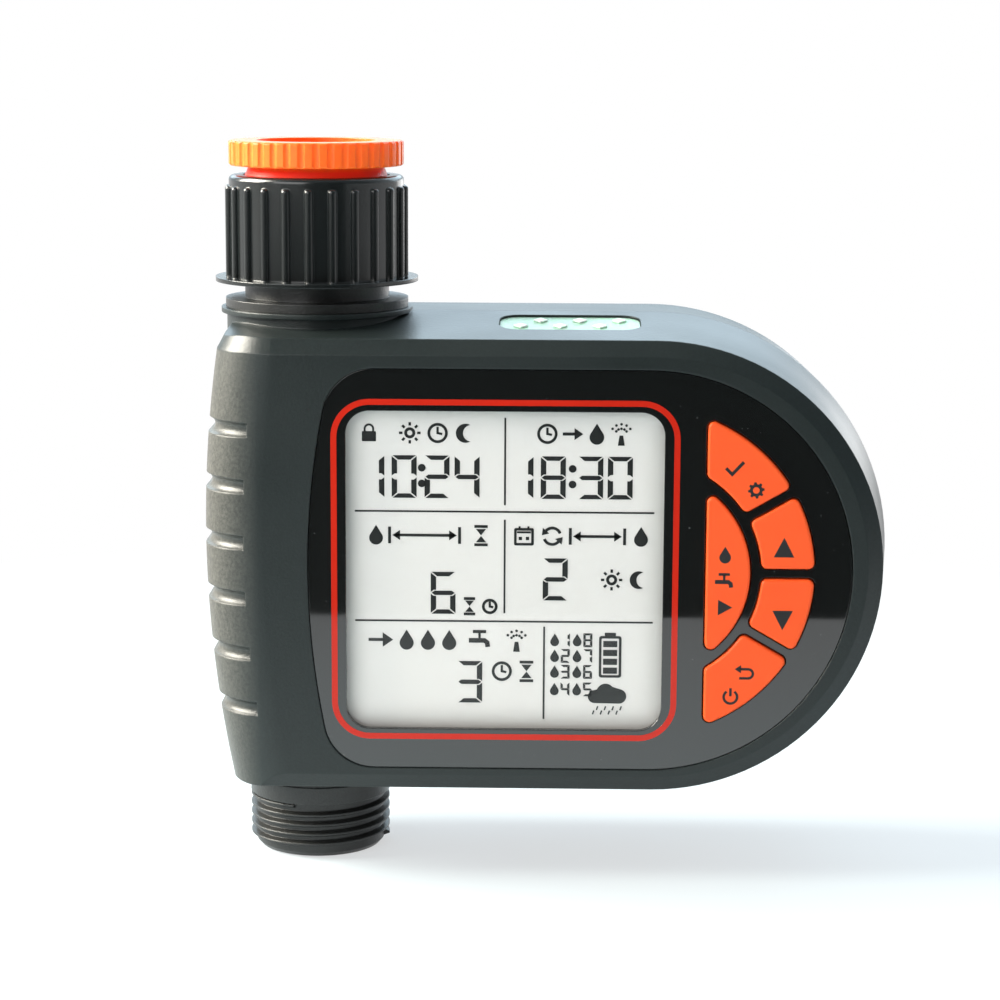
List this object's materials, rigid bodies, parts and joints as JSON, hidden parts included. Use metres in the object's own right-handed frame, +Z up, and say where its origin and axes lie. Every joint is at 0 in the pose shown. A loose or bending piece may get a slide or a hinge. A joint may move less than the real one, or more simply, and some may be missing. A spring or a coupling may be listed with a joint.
{
  "type": "drip irrigation timer",
  "caption": "Battery tap timer with a display and shaped keys on a grip-sided case, a fluted inlet nut with a reducer and a threaded outlet below.",
  "frame": {"origin": "the water axis at the mouth of the inlet, on top of the orange adapter", "axes": "+Z up the water axis towards the tap, -Y out of the display, +X from the water axis to the keys"},
  "size_m": [0.1237, 0.0448, 0.131],
  "materials": {
    "case_plastic": "fine grained dark grey ABS",
    "body_plastic": "dark grey glass-filled plastic",
    "nut_plastic": "glossy black plastic",
    "adapter_plastic": "orange plastic, slight sheen",
    "panel_gloss": "glossy black acrylic",
    "clear_lens": "clear acrylic",
    "display_glass": "pale liquid crystal cell",
    "white_plastic": "white plastic",
    "key_plastic": "orange silky plastic",
    "board": "green solder mask",
    "component_black": "black moulded component",
    "led_clear": "tinted clear epoxy",
    "rubber": "black nitrile rubber",
    "steel": "plain steel",
    "spring_ring": "stainless spring ring",
    "filter_plastic": "pale plastic screen",
    "seat_plastic": "white low-friction plastic",
    "ball_plastic": "smooth white acetal",
    "retainer_plastic": "dark plastic",
    "gear_plastic": "white acetal",
    "brass": "turned brass",
    "battery": "plain wrapped cell",
    "wire": "insulated wire"
  },
  "bodies": {
    "case": {"front_case": "case_plastic", "rear_case": "case_plastic", "case_gasket": "rubber", "case_screws": "steel", "front_panel": "panel_gloss", "display_lens": "clear_lens", "lcd_glass": "display_glass", "lcd_backlight": "white_plastic", "lcd_holder": "white_plastic", "zebra_strips": "rubber", "circuit_board": "board", "control_chip": "component_black", "board_components": "component_black", "key_switches": "component_black", "lead_socket": "white_plastic", "board_screws": "steel", "rain_window": "clear_lens", "rain_sensor_board": "board", "rain_sensor_leds": "led_clear", "battery_cells": "battery", "battery_contacts": "steel", "battery_leads": "wire", "motor_leads": "wire", "valve_body": "body_plastic", "neck_seal": "rubber", "outlet_seal": "rubber", "nut_retaining_ring": "spring_ring", "nut_washer": "rubber", "inlet_filter": "filter_plastic", "upper_ball_seat": "seat_plastic", "lower_ball_seat": "seat_plastic", "seat_retainer": "retainer_plastic", "valve_screws": "steel", "gearbox_base": "gear_plastic", "gearbox_cover": "gear_plastic", "gearbox_screws": "steel", "gear_pins": "steel", "motor_can": "steel", "motor_end_cap": "gear_plastic", "limit_switches": "component_black"},
    "nut": {"inlet_nut": "nut_plastic"},
    "adapter_lift": {"adapter_washer": "rubber"},
    "adapter": {"inlet_adapter": "adapter_plastic"},
    "battery_cover": {"battery_cover": "case_plastic", "battery_cover_seal": "rubber"},
    "key_confirm": {"key_confirm": "key_plastic"},
    "key_up": {"key_up": "key_plastic"},
    "key_down": {"key_down": "key_plastic"},
    "key_manual": {"key_manual": "key_plastic"},
    "key_cancel": {"key_cancel": "key_plastic"},
    "ball": {"valve_ball": "ball_plastic", "valve_stem": "brass", "stem_seals": "rubber", "output_gear": "gear_plastic"},
    "wheel_b": {"gear_wheel_b": "gear_plastic"},
    "wheel_a": {"gear_wheel_a": "gear_plastic"},
    "motor_rotor": {"motor_pinion": "brass", "motor_shaft": "steel"}
  },
  "joints": [
    {"name": "nut_swivel", "type": "hinge", "parent": "case", "child": "nut", "pos_m": [0, 0, -0.0157], "axis": [0, 0, 1], "continuous": true},
    {"name": "adapter_rise", "type": "slide", "parent": "nut", "child": "adapter_lift", "axis": [0, 0, 1], "range_m": [0, 0.00907]},
    {"name": "adapter_turn", "type": "hinge", "parent": "adapter_lift", "child": "adapter", "pos_m": [0, 0, -0.0084], "axis": [0, 0, 1], "range_deg": [0, 1800]},
    {"name": "battery_cover_pull", "type": "slide", "parent": "case", "child": "battery_cover", "axis": [0, 1, 0], "range_m": [0, 0.03]},
    {"name": "ball_turn", "type": "hinge", "parent": "case", "child": "ball", "pos_m": [0, 0, -0.086], "axis": [1, 0, 0], "range_deg": [0, 90]},
    {"name": "wheel_b_turn", "type": "hinge", "parent": "case", "child": "wheel_b", "pos_m": [0.024, 0, -0.0735], "axis": [1, 0, 0], "range_deg": [-360, 0]},
    {"name": "wheel_a_turn", "type": "hinge", "parent": "case", "child": "wheel_a", "pos_m": [0.027, 0, -0.061], "axis": [1, 0, 0], "range_deg": [0, 1440]},
    {"name": "motor_turn", "type": "hinge", "parent": "case", "child": "motor_rotor", "pos_m": [0.028, 0, -0.0485], "axis": [1, 0, 0], "range_deg": [-5760, 0]},
    {"name": "key_confirm_press", "type": "slide", "parent": "case", "child": "key_confirm", "axis": [0, 1, 0], "range_m": [0, 0.0008], "stiffness_N_per_m": 1500, "springref_m": -0.0006},
    {"name": "key_up_press", "type": "slide", "parent": "case", "child": "key_up", "axis": [0, 1, 0], "range_m": [0, 0.0008], "stiffness_N_per_m": 1500, "springref_m": -0.0006},
    {"name": "key_down_press", "type": "slide", "parent": "case", "child": "key_down", "axis": [0, 1, 0], "range_m": [0, 0.0008], "stiffness_N_per_m": 1500, "springref_m": -0.0006},
    {"name": "key_manual_press", "type": "slide", "parent": "case", "child": "key_manual", "axis": [0, 1, 0], "range_m": [0, 0.0008], "stiffness_N_per_m": 1500, "springref_m": -0.0006},
    {"name": "key_cancel_press", "type": "slide", "parent": "case", "child": "key_cancel", "axis": [0, 1, 0], "range_m": [0, 0.0008], "stiffness_N_per_m": 1500, "springref_m": -0.0006}
  ],
  "couplings": [
    {"joint": "adapter_turn", "follows": "adapter_rise", "rad_per_m": 3463.2},
    {"joint": "wheel_b_turn", "follows": "ball_turn", "ratio": -4},
    {"joint": "wheel_a_turn", "follows": "ball_turn", "ratio": 16},
    {"joint": "motor_turn", "follows": "ball_turn", "ratio": -64}
  ]
}
